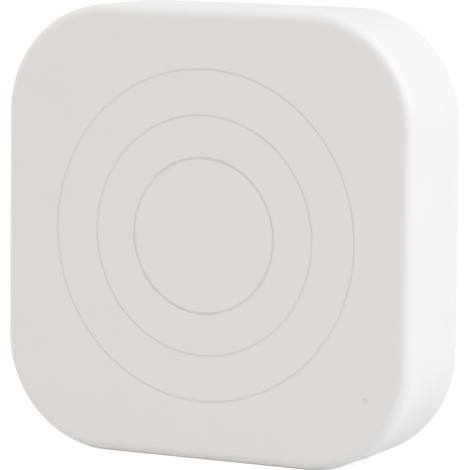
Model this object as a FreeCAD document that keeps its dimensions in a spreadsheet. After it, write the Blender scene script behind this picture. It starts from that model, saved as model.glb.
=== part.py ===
import FreeCAD, Part
import math
import os
import re
import Sketcher

# Presence sensor: a square white puck that watches a room with a 24 GHz radar.
# A deep moulded cap is the front and all four sides, a dished cover closes its back,
# and a wall bracket slides into the cover. Two printed boards fill the inside.
#
# Frame: millimetres, origin at the middle of the bottom of the bounding box,
# +Z up, the face with the rings looks along -Y, +X is to the right of someone facing it.

DIMENSIONS = {
    # Front housing, outside
    "width": 64.0,
    "height": 64.0,
    "depth": 16.5,
    "corner_radius": 16.0,
    "front_edge_radius": 2.1,
    "back_edge_radius": 0.5,
    # The three fine circular lines in the front wall
    "inner_ring_radius": 11.0,
    "middle_ring_radius": 17.0,
    "outer_ring_radius": 23.5,
    "inner_ring_width": 0.38,
    "ring_width": 0.28,
    "inner_ring_depth": 0.16,
    "ring_depth": 0.11,
    # Front housing, inside
    "front_wall": 1.8,
    "side_wall": 1.8,
    "rim_wall": 1.0,
    "floor_fillet": 0.8,
    "rib_wall": 1.0,
    # Bosses that take the cover screws, measured in from the sides and from top and bottom
    "boss_side_inset": 13.0,
    "boss_end_inset": 6.0,
    "boss_radius": 2.6,
    "pilot_depth": 6.0,
    # Posts that carry the main board
    "post_side_inset": 7.0,
    "post_rise": 12.0,
    "post_radius": 2.3,
    # Rear cover
    "cover_gap": 0.15,
    "cover_edge": 0.3,
    "cover_plate": 1.6,
    "cover_floor": 1.2,
    "cover_land": 3.0,
    "land_radius": 3.0,
    "recess_depth": 2.2,
    "recess_radius": 4.0,
    "hook_reach": 1.2,
    "hook_length": 6.0,
    "hook_thickness": 0.9,
    "hook_spacing": 16.0,
    # Wall bracket
    "bracket_width": 36.0,
    "bracket_height": 30.0,
    "bracket_radius": 3.0,
    "bracket_edge": 0.3,
    "bracket_proud": 0.3,
    "bracket_gap": 0.3,
    "slide_gap": 0.2,
    "unlock_play": 0.5,
    "wall_hole_spacing": 22.0,
    "wall_hole_radius": 1.9,
    "wall_sink_radius": 3.4,
    "latch_width": 6.0,
    "latch_length": 10.0,
    "latch_slit": 0.8,
    "latch_bump": 0.12,
    # Screws
    "screw_radius": 0.95,
    "screw_gap": 0.02,
    "screw_length": 7.0,
    "screw_head_radius": 1.8,
    "screw_head_height": 1.3,
    "screw_head_edge": 0.5,
    "screw_slot": 0.5,
    "screw_slot_length": 2.5,
    "head_gap": 0.3,
    # Main board
    "board_thickness": 1.2,
    "board_edge_gap": 0.6,
    "board_back_gap": 0.5,
    "notch_gap": 0.5,
    # Power inlet on the bottom edge
    "usb_width": 8.94,
    "usb_height": 3.16,
    "usb_length": 7.3,
    "usb_wall": 0.3,
    "usb_recess": 0.3,
    "usb_gap": 0.2,
    "tongue_width": 6.69,
    "tongue_thickness": 0.7,
    "tongue_recess": 0.8,
    "tongue_base": 2.0,
    "contact_width": 0.25,
    "contact_thickness": 0.08,
    "contact_spacing": 0.5,
    "contact_foot": 0.6,
    "contact_recess": 0.5,
    "leg_length": 1.0,
    "leg_gap": 0.1,
    # Pairing button and the switch behind it
    "button_radius": 1.3,
    "button_gap": 0.1,
    "button_recess": 0.3,
    "button_stop_gap": 0.05,
    "flange_width": 4.4,
    "flange_depth": 2.2,
    "flange_thickness": 0.8,
    "press_travel": 0.3,
    "switch_width": 4.6,
    "switch_height": 3.0,
    "switch_length": 3.2,
    "plunger_width": 1.5,
    "plunger_depth": 1.0,
    "plunger_reach": 0.9,
    "plunger_root": 0.8,
    "plunger_gap": 0.06,
    "frame_wall": 0.15,
    "terminal_width": 0.9,
    "terminal_reach": 0.8,
    # Status light
    "light_side_inset": 6.45,
    "light_bottom_inset": 10.75,
    "light_tip_radius": 0.4,
    "light_rod_radius": 1.2,
    "light_gap": 0.03,
    "light_air": 0.3,
    "light_recess": 0.05,
    "sleeve_wall": 0.8,
    "sleeve_length": 4.0,
    "led_length": 1.6,
    "led_lens_length": 1.1,
    "led_width": 0.8,
    "led_height": 0.6,
    # Radar board
    "radar_width": 24.0,
    "radar_height": 24.0,
    "radar_thickness": 0.8,
    "patch_size": 3.3,
    "patch_spacing": 6.2,
    "copper": 0.05,
    "feed_width": 0.4,
    "radar_chip_size": 5.0,
    "radar_chip_height": 0.85,
    "crystal_length": 3.2,
    "crystal_width": 2.5,
    "crystal_height": 0.7,
    # Header strips between the two boards
    "header_height": 2.0,
    "header_width": 2.0,
    "header_inset": 1.5,
    "pin_spacing": 2.0,
    "pin_width": 0.5,
    "pin_hole_radius": 0.4,
    "pin_stub": 0.4,
    # Wireless module
    "module_width": 16.0,
    "module_height": 12.0,
    "module_thickness": 0.8,
    "module_gap": 2.0,
    "can_width": 12.0,
    "can_height": 7.6,
    "can_depth": 1.8,
    "can_wall": 0.2,
    "can_inset": 0.6,
    "wifi_chip_size": 5.0,
    "wifi_chip_height": 0.85,
    "antenna_spacing": 1.0,
    "antenna_line": 0.4,
    "antenna_height": 2.4,
    # Supply parts
    "supply_rise": 12.5,
    "regulator_side": 8.5,
    "regulator_length": 2.9,
    "regulator_width": 1.6,
    "regulator_height": 1.1,
    "lead_spacing": 0.95,
    "lead_width": 0.4,
    "lead_thickness": 0.12,
    "lead_reach": 0.6,
    "inductor_side": 8.5,
    "inductor_size": 4.0,
    "inductor_height": 2.1,
    "inductor_radius": 0.9,
    "inductor_pad": 0.9,
    "inductor_pad_height": 0.15,
    "capacitor_length": 2.0,
    "capacitor_width": 1.25,
    "capacitor_spacing": 2.6,
}

# Numbers of repeated features
PATCH_ROWS = 3
PATCH_COLUMNS = 3
PINS_PER_STRIP = 5
CONTACTS_PER_ROW = 12
ANTENNA_BARS = 12
CAPACITORS = 3

# Places along Y, from the face with the rings to the wall
FRONT = "(-(depth + bracket_proud) / 2)"
BACK = f"({FRONT} + depth)"
WALL_SIDE = f"({BACK} + bracket_proud)"
INNER_FRONT = f"({FRONT} + front_wall)"
LAND = f"({BACK} - cover_land)"
RECESS_FLOOR = f"({BACK} - recess_depth)"
DISH_INSIDE = f"({RECESS_FLOOR} - cover_floor)"
BOARD_BACK = f"({DISH_INSIDE} - board_back_gap)"
BOARD_FRONT = f"({BOARD_BACK} - board_thickness)"
RADAR_BACK = f"({BOARD_FRONT} - header_height)"
RADAR_FRONT = f"({RADAR_BACK} - radar_thickness)"
MODULE_FACE = f"({BOARD_FRONT} - module_thickness)"
PORT_LINE = f"({BOARD_FRONT} - usb_height / 2)"
BRACKET_FRONT = f"({RECESS_FLOOR} + slide_gap)"

# Places along Z
MIDDLE = "(height / 2)"
BOARD_BOTTOM = "(side_wall + board_edge_gap)"
BUTTON_SEAT = "(side_wall + button_stop_gap)"
BUTTON_TOP = f"({BUTTON_SEAT} + flange_thickness)"
PLUNGER_END = f"({BUTTON_TOP} + button_stop_gap)"
SWITCH_FACE = f"({PLUNGER_END} + plunger_reach)"
USB_REAR = "(usb_recess + usb_length)"
RADAR_TOP = f"({MIDDLE} + radar_height / 2)"
MODULE_BOTTOM = f"({RADAR_TOP} + module_gap)"
MODULE_TOP = f"({MODULE_BOTTOM} + module_height)"
CAN_MIDDLE = f"({MODULE_BOTTOM} + can_inset + can_height / 2)"
BOSS_RISES = ("boss_end_inset", "(height - boss_end_inset)")
POST_RISES = (f"({MIDDLE} - post_rise)", f"({MIDDLE} + post_rise)")

# Places along X
BOSS_SIDE = "(width / 2 - boss_side_inset)"
POST_SIDE = "(width / 2 - post_side_inset)"
LIGHT_SIDE = "(width / 2 - light_side_inset)"
HEADER_SIDE = "(radar_width / 2 - header_inset)"
BUTTON_SIDE = f"((usb_width / 2 + {BOSS_SIDE} - boss_radius) / 2)"

# The bracket's travel, from locked at the top of its recess to free at the bottom
TRAVEL = "(hook_length + unlock_play)"
RECESS_WIDTH = "(bracket_width + 2 * bracket_gap)"
RECESS_HEIGHT = f"(bracket_height + {TRAVEL} + 2 * bracket_gap)"
BRACKET_MIDDLE = f"({MIDDLE} + {TRAVEL} / 2)"
TONGUE = "(recess_depth - hook_thickness - 2 * slide_gap)"

# Directions of a pad or pocket along its plane's axis
PLUS = 1
MINUS = -1
NORMAL = {"XY_Plane": PLUS, "XZ_Plane": MINUS, "YZ_Plane": PLUS}

doc = FreeCAD.newDocument("presence_sensor")
sheet = doc.addObject("Spreadsheet::Sheet", "Sizes")
for row, (name, value) in enumerate(DIMENSIONS.items(), start=1):
    sheet.set(f"A{row}", name)
    sheet.set(f"B{row}", str(value))
    sheet.setAlias(f"B{row}", name)
doc.recompute()


def from_sheet(expression):
    """The expression with every size name pointing at its cell."""
    def cell(match):
        word = match.group()
        return f"Sizes.{word}" if word in DIMENSIONS else word
    return re.sub(r"[a-z]\w*", cell, expression)


def value_of(expression):
    return float(sheet.evalExpression(from_sheet(expression)))


def bind(owner, path, expression):
    owner.setExpression(path, from_sheet(expression))


def new_body(label, solids=1):
    body = doc.addObject("PartDesign::Body", label)
    body.Label = label
    body.AllowCompound = solids > 1
    return body


def new_sketch(body, name, role, offset):
    """A sketch on one of the body's own origin planes, moved along that plane's axis."""
    plane = next(item for item in body.Origin.OriginFeatures if item.Role == role)
    sketch = body.newObject("Sketcher::SketchObject", f"{body.Label}_{name}")
    sketch.AttachmentSupport = (plane, [""])
    sketch.MapMode = "FlatFace"
    sign = "" if NORMAL[role] == PLUS else "-"
    bind(sketch, "AttachmentOffset.Base.z", f"{sign}({offset})")
    return sketch


def hold(sketch, kind, references, expression):
    """A driving constraint whose value is bound to the sheet."""
    index = sketch.addConstraint(Sketcher.Constraint(kind, *references, value_of(expression)))
    bind(sketch, f"Constraints[{index}]", expression)


def hold_point(sketch, line, point, across, up):
    hold(sketch, "DistanceX", (-1, 1, line, point), across)
    hold(sketch, "DistanceY", (-1, 1, line, point), up)


def draw_circle(sketch, across, up, radius):
    centre = FreeCAD.Vector(value_of(across), value_of(up), 0)
    circle = sketch.addGeometry(Part.Circle(centre, FreeCAD.Vector(0, 0, 1), value_of(radius)))
    hold(sketch, "Radius", (circle,), radius)
    hold_point(sketch, circle, 3, across, up)


def draw_polygon(sketch, corners):
    """Straight lines through the corners, each corner held at its own place."""
    points = [FreeCAD.Vector(value_of(across), value_of(up), 0) for across, up in corners]
    lines = []
    for start, end in zip(points, points[1:] + points[:1]):
        lines.append(sketch.addGeometry(Part.LineSegment(start, end)))
    for line, following in zip(lines, lines[1:] + lines[:1]):
        sketch.addConstraint(Sketcher.Constraint("Coincident", line, 2, following, 1))
    for line, (across, up) in zip(lines, corners):
        hold_point(sketch, line, 1, across, up)


def draw_box(sketch, across, up, width, height):
    """A rectangle around its middle."""
    left, right = f"{across} - ({width}) / 2", f"{across} + ({width}) / 2"
    low, high = f"{up} - ({height}) / 2", f"{up} + ({height}) / 2"
    draw_polygon(sketch, [(left, low), (right, low), (right, high), (left, high)])


def draw_rounded(sketch, across, up, width, height, radius):
    """A rectangle around its middle whose corners are arcs."""
    reach_x = f"(({width}) / 2 - ({radius}))"
    reach_y = f"(({height}) / 2 - ({radius}))"
    r = value_of(radius)
    corners = [(-1, -1, 180), (1, -1, 270), (1, 1, 0), (-1, 1, 90)]
    centres = []
    arcs = []
    for side_x, side_y, start in corners:
        place_x = f"{across} + ({side_x}) * {reach_x}"
        place_y = f"{up} + ({side_y}) * {reach_y}"
        centre = FreeCAD.Vector(value_of(place_x), value_of(place_y), 0)
        circle = Part.Circle(centre, FreeCAD.Vector(0, 0, 1), r)
        arc = Part.ArcOfCircle(circle, math.radians(start), math.radians(start + 90))
        arcs.append(sketch.addGeometry(arc))
        centres.append((place_x, place_y))
    lines = []
    for arc, following in zip(arcs, arcs[1:] + arcs[:1]):
        start = sketch.Geometry[arc].EndPoint
        end = sketch.Geometry[following].StartPoint
        lines.append(sketch.addGeometry(Part.LineSegment(start, end)))
    for index, line in enumerate(lines):
        following = arcs[(index + 1) % len(arcs)]
        sketch.addConstraint(Sketcher.Constraint("Tangent", arcs[index], 2, line, 1))
        sketch.addConstraint(Sketcher.Constraint("Tangent", line, 2, following, 1))
    for arc in arcs[1:]:
        sketch.addConstraint(Sketcher.Constraint("Equal", arcs[0], arc))
    hold(sketch, "Radius", (arcs[0],), radius)
    hold_point(sketch, arcs[0], 3, *centres[0])
    hold_point(sketch, arcs[2], 3, *centres[2])


def draw_stadium(sketch, across, up, width, height):
    """A slot with round ends, longer across than it is high."""
    reach = f"(({width}) / 2 - ({height}) / 2)"
    radius = f"({height}) / 2"
    r = value_of(radius)
    middle = FreeCAD.Vector(value_of(across), value_of(up), 0)
    shift = FreeCAD.Vector(value_of(reach), 0, 0)
    quarter = math.pi / 2
    z_axis = FreeCAD.Vector(0, 0, 1)
    right_circle = Part.Circle(middle + shift, z_axis, r)
    left_circle = Part.Circle(middle - shift, z_axis, r)
    right = sketch.addGeometry(Part.ArcOfCircle(right_circle, -quarter, quarter))
    left = sketch.addGeometry(Part.ArcOfCircle(left_circle, quarter, 3 * quarter))
    for arc, other in ((right, left), (left, right)):
        start = sketch.Geometry[arc].EndPoint
        end = sketch.Geometry[other].StartPoint
        line = sketch.addGeometry(Part.LineSegment(start, end))
        sketch.addConstraint(Sketcher.Constraint("Tangent", arc, 2, line, 1))
        sketch.addConstraint(Sketcher.Constraint("Tangent", line, 2, other, 1))
    hold(sketch, "Radius", (right,), radius)
    hold_point(sketch, right, 3, f"{across} + {reach}", up)
    hold_point(sketch, left, 3, f"{across} - {reach}", up)


def role_of(sketch):
    return sketch.AttachmentSupport[0][0].Role


def pad(body, name, sketch, length, direction):
    feature = body.newObject("PartDesign::Pad", f"{body.Label}_{name}")
    feature.Profile = sketch
    bind(feature, "Length", length)
    feature.Reversed = direction != NORMAL[role_of(sketch)]
    doc.recompute()
    return feature


def pocket(body, name, sketch, length, direction):
    before = body.Shape.Volume
    feature = body.newObject("PartDesign::Pocket", f"{body.Label}_{name}")
    feature.Profile = sketch
    bind(feature, "Length", length)
    feature.Reversed = direction == NORMAL[role_of(sketch)]
    doc.recompute()
    if body.Shape.Volume >= before:
        raise RuntimeError(f"{feature.Name} cuts nothing")
    return feature


def repeat(body, name, originals, sketch, axis, pitch, count):
    """A row of copies along an axis of the originals' sketch."""
    feature = body.newObject("PartDesign::LinearPattern", f"{body.Label}_{name}")
    feature.Originals = originals
    feature.Direction = (sketch, [axis])
    feature.Mode = "Spacing"
    bind(feature, "Offset", pitch)
    feature.Occurrences = count
    body.Tip = feature
    doc.recompute()
    return feature


def soften(body, name, kind, size, keep):
    """A fillet or chamfer on the edges of the body that keep picks."""
    base = body.Tip
    edges = [f"Edge{number}" for number, edge in enumerate(base.Shape.Edges, start=1) if keep(edge)]
    feature = body.newObject(f"PartDesign::{kind}", f"{body.Label}_{name}")
    feature.Base = (base, edges)
    bind(feature, "Radius" if kind == "Fillet" else "Size", size)
    doc.recompute()
    return feature


def near(first, second):
    return abs(first - second) < 1e-4


def flat_at(axis, expression):
    """Picks edges that lie wholly in the plane where axis has this value."""
    place = value_of(expression)

    def keep(edge):
        box = edge.BoundBox
        return near(getattr(box, f"{axis}Min"), place) and near(getattr(box, f"{axis}Max"), place)
    return keep


def both_sides(expression):
    return (f"-{expression}", expression)


def make_front_housing():
    """The cap: moulded in one piece with its bosses, posts, ribs and the light sleeve."""
    body = new_body("front_housing")
    outline = new_sketch(body, "outline", "XZ_Plane", FRONT)
    draw_rounded(outline, "0", MIDDLE, "width", "height", "corner_radius")
    pad(body, "block", outline, "depth", PLUS)
    soften(body, "front_edge", "Fillet", "front_edge_radius", flat_at("Y", FRONT))
    soften(body, "back_edge", "Fillet", "back_edge_radius", flat_at("Y", BACK))

    cavity = new_sketch(body, "cavity_outline", "XZ_Plane", BACK)
    inner_radius = "corner_radius - side_wall"
    draw_rounded(cavity, "0", MIDDLE, "width - 2 * side_wall", "height - 2 * side_wall", inner_radius)
    pocket(body, "cavity", cavity, "depth - front_wall", MINUS)
    soften(body, "floor_edge", "Fillet", "floor_fillet", flat_at("Y", INNER_FRONT))
    seat = new_sketch(body, "cover_seat_outline", "XZ_Plane", BACK)
    rim_radius = "corner_radius - rim_wall"
    draw_rounded(seat, "0", MIDDLE, "width - 2 * rim_wall", "height - 2 * rim_wall", rim_radius)
    pocket(body, "cover_seat", seat, "cover_plate", MINUS)

    bosses = new_sketch(body, "boss_circles", "XZ_Plane", INNER_FRONT)
    pilots = new_sketch(body, "boss_pilots", "XZ_Plane", LAND)
    ribs = new_sketch(body, "rib_boxes", "XZ_Plane", INNER_FRONT)
    for rise, wall in zip(BOSS_RISES, ("side_wall / 2", "(height - side_wall / 2)")):
        for side in both_sides(BOSS_SIDE):
            draw_circle(bosses, side, rise, "boss_radius")
            draw_circle(pilots, side, rise, "screw_radius + screw_gap")
            draw_box(ribs, side, f"({rise} + {wall}) / 2", "rib_wall", f"abs({rise} - {wall})")
    pad(body, "bosses", bosses, f"{LAND} - {INNER_FRONT}", PLUS)
    pad(body, "ribs", ribs, f"{BOARD_FRONT} - {INNER_FRONT}", PLUS)
    pocket(body, "boss_holes", pilots, "pilot_depth", MINUS)

    posts = new_sketch(body, "post_circles", "XZ_Plane", INNER_FRONT)
    post_pilots = new_sketch(body, "post_pilots", "XZ_Plane", BOARD_FRONT)
    for rise in POST_RISES:
        for side in both_sides(POST_SIDE):
            draw_circle(posts, side, rise, "post_radius")
            draw_circle(post_pilots, side, rise, "screw_radius + screw_gap")
    pad(body, "posts", posts, f"{BOARD_FRONT} - {INNER_FRONT}", PLUS)
    pocket(body, "post_holes", post_pilots, "pilot_depth", MINUS)

    sleeve = new_sketch(body, "sleeve_circle", "XZ_Plane", INNER_FRONT)
    draw_circle(sleeve, LIGHT_SIDE, "light_bottom_inset", "light_rod_radius + light_gap + sleeve_wall")
    pad(body, "sleeve", sleeve, "sleeve_length", PLUS)
    bore = new_sketch(body, "sleeve_bore", "XZ_Plane", INNER_FRONT)
    draw_circle(bore, LIGHT_SIDE, "light_bottom_inset", "light_rod_radius + light_gap")
    pocket(body, "sleeve_hole", bore, "sleeve_length", PLUS)
    spot = new_sketch(body, "light_spot", "XZ_Plane", FRONT)
    draw_circle(spot, LIGHT_SIDE, "light_bottom_inset", "light_tip_radius + light_gap")
    pocket(body, "light_hole", spot, "front_wall", PLUS)

    rings = (("inner_ring", "inner_ring_width", "inner_ring_depth"),
             ("middle_ring", "ring_width", "ring_depth"),
             ("outer_ring", "ring_width", "ring_depth"))
    for name, width, depth in rings:
        groove = new_sketch(body, f"{name}_circles", "XZ_Plane", FRONT)
        for edge in ("-", "+"):
            draw_circle(groove, "0", MIDDLE, f"{name}_radius {edge} {width} / 2")
        pocket(body, name, groove, depth, PLUS)

    inlet = new_sketch(body, "inlet_slot", "XY_Plane", "0")
    draw_stadium(inlet, "0", PORT_LINE, "usb_width + 2 * usb_gap", "usb_height + 2 * usb_gap")
    draw_circle(inlet, BUTTON_SIDE, PORT_LINE, "button_radius + button_gap")
    pocket(body, "bottom_openings", inlet, "side_wall + floor_fillet", PLUS)
    return body


def make_rear_cover():
    """The dished cover: the bracket slides in its recess, under four hooks."""
    body = new_body("rear_cover")
    inset = "(rim_wall + cover_gap)"
    width = f"(width - 2 * {inset})"
    height = f"(height - 2 * {inset})"
    plate = new_sketch(body, "plate_outline", "XZ_Plane", BACK)
    draw_rounded(plate, "0", MIDDLE, width, height, f"corner_radius - {inset}")
    pad(body, "plate", plate, "cover_plate", MINUS)
    soften(body, "plate_edge", "Fillet", "cover_edge", flat_at("Y", BACK))
    dish = new_sketch(body, "dish_outline", "XZ_Plane", BACK)
    dish_width = f"{RECESS_WIDTH} + 2 * cover_floor"
    dish_height = f"{RECESS_HEIGHT} + 2 * cover_floor"
    draw_rounded(dish, "0", MIDDLE, dish_width, dish_height, "recess_radius + cover_floor")
    pad(body, "dish", dish, "recess_depth + cover_floor", MINUS)

    lands = new_sketch(body, "land_circles", "XZ_Plane", BACK)
    holes = new_sketch(body, "screw_holes", "XZ_Plane", BACK)
    heads = new_sketch(body, "head_recesses", "XZ_Plane", BACK)
    for rise in BOSS_RISES:
        for side in both_sides(BOSS_SIDE):
            draw_circle(lands, side, rise, "land_radius")
            draw_circle(holes, side, rise, "screw_radius + head_gap / 2")
            draw_circle(heads, side, rise, "screw_head_radius + head_gap")
    pad(body, "lands", lands, "cover_land", MINUS)
    pocket(body, "screw_bores", holes, "cover_land", MINUS)
    pocket(body, "head_bores", heads, "screw_head_height + head_gap", MINUS)

    recess = new_sketch(body, "recess_outline", "XZ_Plane", BACK)
    draw_rounded(recess, "0", MIDDLE, RECESS_WIDTH, RECESS_HEIGHT, "recess_radius")
    pocket(body, "recess", recess, "recess_depth", MINUS)
    hooks = new_sketch(body, "hook_boxes", "XZ_Plane", BACK)
    root = "cover_floor / 2"
    for sign in ("-", "+"):
        rise = f"({BRACKET_MIDDLE} {sign} hook_spacing / 2)"
        for side in both_sides(f"({RECESS_WIDTH} / 2 - hook_reach / 2 + {root} / 2)"):
            draw_box(hooks, side, rise, f"hook_reach + {root}", "hook_length")
    pad(body, "hooks", hooks, "hook_thickness", MINUS)
    return body


def make_wall_bracket():
    """The plate that is screwed to the wall; its tongues slide under the cover's hooks."""
    body = new_body("wall_bracket")
    plate_width = "(bracket_width - 2 * hook_reach)"
    plate = new_sketch(body, "plate_outline", "XZ_Plane", BRACKET_FRONT)
    draw_rounded(plate, "0", BRACKET_MIDDLE, plate_width, "bracket_height", "bracket_radius")
    pad(body, "plate", plate, f"{WALL_SIDE} - {BRACKET_FRONT}", PLUS)
    soften(body, "plate_edge", "Chamfer", "bracket_edge", flat_at("Y", WALL_SIDE))
    tongues = new_sketch(body, "tongue_boxes", "XZ_Plane", BRACKET_FRONT)
    for sign in ("-", "+"):
        rise = f"({BRACKET_MIDDLE} {sign} hook_spacing / 2)"
        for side in both_sides(f"({plate_width} / 2)"):
            draw_box(tongues, side, rise, "2 * hook_reach", "hook_length")
    pad(body, "tongues", tongues, TONGUE, PLUS)

    holes = new_sketch(body, "wall_hole_circles", "XZ_Plane", BRACKET_FRONT)
    for sign in ("-", "+"):
        draw_circle(holes, "0", f"{BRACKET_MIDDLE} {sign} wall_hole_spacing / 2", "wall_hole_radius")
    before = body.Shape.Volume
    hole = body.newObject("PartDesign::Hole", "wall_bracket_screw_holes")
    hole.Profile = holes
    hole.DepthType = "ThroughAll"
    hole.HoleCutType = "Countersink"
    hole.HoleCutCustomValues = True
    bind(hole, "Diameter", "2 * wall_hole_radius")
    bind(hole, "HoleCutDiameter", "2 * wall_sink_radius")
    hole.HoleCutCountersinkAngle = 90
    doc.recompute()
    if body.Shape.Volume >= before:
        raise RuntimeError("the bracket's screw holes cut nothing")

    slit = new_sketch(body, "latch_slit", "XZ_Plane", BRACKET_FRONT)
    outer_width = "(latch_width / 2 + latch_slit)"
    low = f"({BRACKET_MIDDLE} - latch_length / 2)"
    high = f"({BRACKET_MIDDLE} + latch_length / 2)"
    draw_polygon(slit, [
        (f"-{outer_width}", low),
        (outer_width, low),
        (outer_width, high),
        ("latch_width / 2", high),
        ("latch_width / 2", f"{low} + latch_slit"),
        ("-latch_width / 2", f"{low} + latch_slit"),
        ("-latch_width / 2", high),
        (f"-{outer_width}", high),
    ])
    pocket(body, "latch", slit, f"{WALL_SIDE} - {BRACKET_FRONT}", PLUS)
    bump = new_sketch(body, "latch_bump_outline", "XZ_Plane", BRACKET_FRONT)
    draw_box(bump, "0", f"{low} + 2 * latch_slit", "latch_width / 2", "latch_slit")
    pad(body, "latch_bump", bump, "latch_bump", MINUS)
    return body


def make_screws(label, head_under, sides, rises):
    """Four pan-head screws with a slot, driven towards the front."""
    body = new_body(label, solids=4)
    shanks = new_sketch(body, "shank_circles", "XZ_Plane", head_under)
    heads = new_sketch(body, "head_circles", "XZ_Plane", head_under)
    slots = new_sketch(body, "slot_boxes", "XZ_Plane", f"{head_under} + screw_head_height")
    for rise in rises:
        for side in sides:
            draw_circle(shanks, side, rise, "screw_radius")
            draw_circle(heads, side, rise, "screw_head_radius")
            draw_box(slots, side, rise, "screw_slot_length", "screw_slot")
    pad(body, "heads", heads, "screw_head_height", PLUS)
    pad(body, "shanks", shanks, "screw_length", MINUS)
    soften(body, "head_edges", "Fillet", "screw_head_edge",
           flat_at("Y", f"{head_under} + screw_head_height"))
    pocket(body, "slots", slots, "screw_head_height / 2", MINUS)
    return body


def make_main_board():
    """The main board, notched round the bosses, on the four posts."""
    body = new_body("main_board")
    inset = "(side_wall + board_edge_gap)"
    outline = new_sketch(body, "outline", "XZ_Plane", BOARD_FRONT)
    radius = f"corner_radius - {inset}"
    draw_rounded(outline, "0", MIDDLE, f"width - 2 * {inset}", f"height - 2 * {inset}", radius)
    pad(body, "plate", outline, "board_thickness", PLUS)

    ends = new_sketch(body, "notch_rounds", "XZ_Plane", BOARD_FRONT)
    notches = new_sketch(body, "notch_boxes", "XZ_Plane", BOARD_FRONT)
    for rise, edge in zip(BOSS_RISES, ("0", "height")):
        for side in both_sides(BOSS_SIDE):
            draw_circle(ends, side, rise, "boss_radius + notch_gap")
            width = "2 * (boss_radius + notch_gap)"
            draw_box(notches, side, f"({rise} + {edge}) / 2", width, f"abs({rise} - {edge})")
    pocket(body, "notch_ends", ends, "board_thickness", PLUS)
    pocket(body, "notches", notches, "board_thickness", PLUS)

    holes = new_sketch(body, "screw_holes", "XZ_Plane", BOARD_FRONT)
    for rise in POST_RISES:
        for side in both_sides(POST_SIDE):
            draw_circle(holes, side, rise, "screw_radius + head_gap / 2")
    pocket(body, "screw_bores", holes, "board_thickness", PLUS)
    legs = new_sketch(body, "leg_slots", "XZ_Plane", BOARD_FRONT)
    for side, rise in usb_leg_places():
        draw_box(legs, side, rise, "usb_wall + 2 * leg_gap", "leg_length + 2 * leg_gap")
    pocket(body, "leg_holes", legs, "board_thickness", PLUS)
    drill_pin_holes(body, BOARD_FRONT, "board_thickness")
    return body


def usb_leg_places():
    """The four legs that hold the inlet's shell in the board."""
    side = "(usb_width / 2 - usb_wall / 2)"
    first = f"({BOARD_BOTTOM} + 1.5 * leg_length)"
    last = f"({USB_REAR} - leg_length)"
    return [(place, rise) for place in both_sides(side) for rise in (first, last)]


def drill_pin_holes(body, front, thickness):
    """A row of plated holes for each header strip, centred on the radar board."""
    low = f"({MIDDLE} - pin_spacing * {(PINS_PER_STRIP - 1) / 2})"
    hole = new_sketch(body, "pin_hole", "XZ_Plane", front)
    for side in both_sides(HEADER_SIDE):
        draw_circle(hole, side, low, "pin_hole_radius")
    first = pocket(body, "first_pin_holes", hole, thickness, PLUS)
    repeat(body, "pin_holes", [first], hole, "V_Axis", "pin_spacing", PINS_PER_STRIP)


def make_usb_shell():
    """The drawn shell of the inlet, its mouth just inside the bottom edge."""
    body = new_body("usb_shell")
    tube = new_sketch(body, "tube", "XY_Plane", "usb_recess")
    draw_stadium(tube, "0", PORT_LINE, "usb_width", "usb_height")
    draw_stadium(tube, "0", PORT_LINE, "usb_width - 2 * usb_wall", "usb_height - 2 * usb_wall")
    pad(body, "tube", tube, "usb_length", PLUS)
    legs = new_sketch(body, "leg_boxes", "XZ_Plane", PORT_LINE)
    for side, rise in usb_leg_places():
        draw_box(legs, side, rise, "usb_wall", "leg_length")
    pad(body, "legs", legs, f"{BOARD_BACK} - {PORT_LINE}", PLUS)
    return body


def make_usb_tongue():
    """The thin moulded tongue that the plug goes round."""
    body = new_body("usb_tongue")
    tongue = new_sketch(body, "tongue", "XY_Plane", "usb_recess + tongue_recess")
    draw_box(tongue, "0", PORT_LINE, "tongue_width", "tongue_thickness")
    pad(body, "tongue", tongue, "usb_length - tongue_recess - tongue_base", PLUS)
    return body


def make_usb_base():
    """The moulded base that closes the rear of the shell; the contacts pass through it."""
    body = new_body("usb_base")
    front = f"{USB_REAR} - tongue_base"
    base = new_sketch(body, "base", "XY_Plane", front)
    draw_stadium(base, "0", PORT_LINE, "usb_width - 2 * usb_wall", "usb_height - 2 * usb_wall")
    pad(body, "base", base, "tongue_base", PLUS)
    slots = new_sketch(body, "contact_slots", "XY_Plane", front)
    for level in contact_levels():
        draw_box(slots, first_contact_side(), level, "contact_width", "contact_thickness")
    first = pocket(body, "first_slots", slots, "tongue_base", PLUS)
    repeat(body, "slots", [first], slots, "H_Axis", "contact_spacing", CONTACTS_PER_ROW)
    return body


def first_contact_side():
    return f"(-contact_spacing * {(CONTACTS_PER_ROW - 1) / 2})"


def contact_levels():
    """Middle of the contacts on the room side and on the board side of the tongue."""
    reach = "(tongue_thickness / 2 + contact_thickness / 2)"
    return (f"({PORT_LINE} - {reach})", f"({PORT_LINE} + {reach})")


def make_usb_contacts():
    """Two rows of contacts, each bent down behind the base to a solder foot."""
    body = new_body("usb_contacts", solids=2 * CONTACTS_PER_ROW)
    tip = "(usb_recess + tongue_recess + contact_recess)"
    half = "contact_thickness / 2"
    knees = ("(3 * contact_foot)", "contact_foot")
    for name, level, knee in zip(("room", "board"), contact_levels(), knees):
        bend = f"({USB_REAR} + {knee})"
        side = f"{first_contact_side()} - contact_width / 2"
        profile = new_sketch(body, f"{name}_profile", "YZ_Plane", side)
        draw_polygon(profile, [
            (f"{level} - {half}", tip),
            (f"{level} + {half}", tip),
            (f"{level} + {half}", f"{bend} - contact_thickness"),
            (BOARD_FRONT, f"{bend} - contact_thickness"),
            (BOARD_FRONT, f"{bend} + contact_foot"),
            (f"{BOARD_FRONT} - contact_thickness", f"{bend} + contact_foot"),
            (f"{BOARD_FRONT} - contact_thickness", bend),
            (f"{level} - {half}", bend),
        ])
        first = pad(body, f"{name}_contact", profile, "contact_width", PLUS)
        across = new_sketch(body, f"{name}_direction", "XY_Plane", "0")
        repeat(body, f"{name}_row", [first], across, "H_Axis", "contact_spacing", CONTACTS_PER_ROW)
    return body


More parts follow.
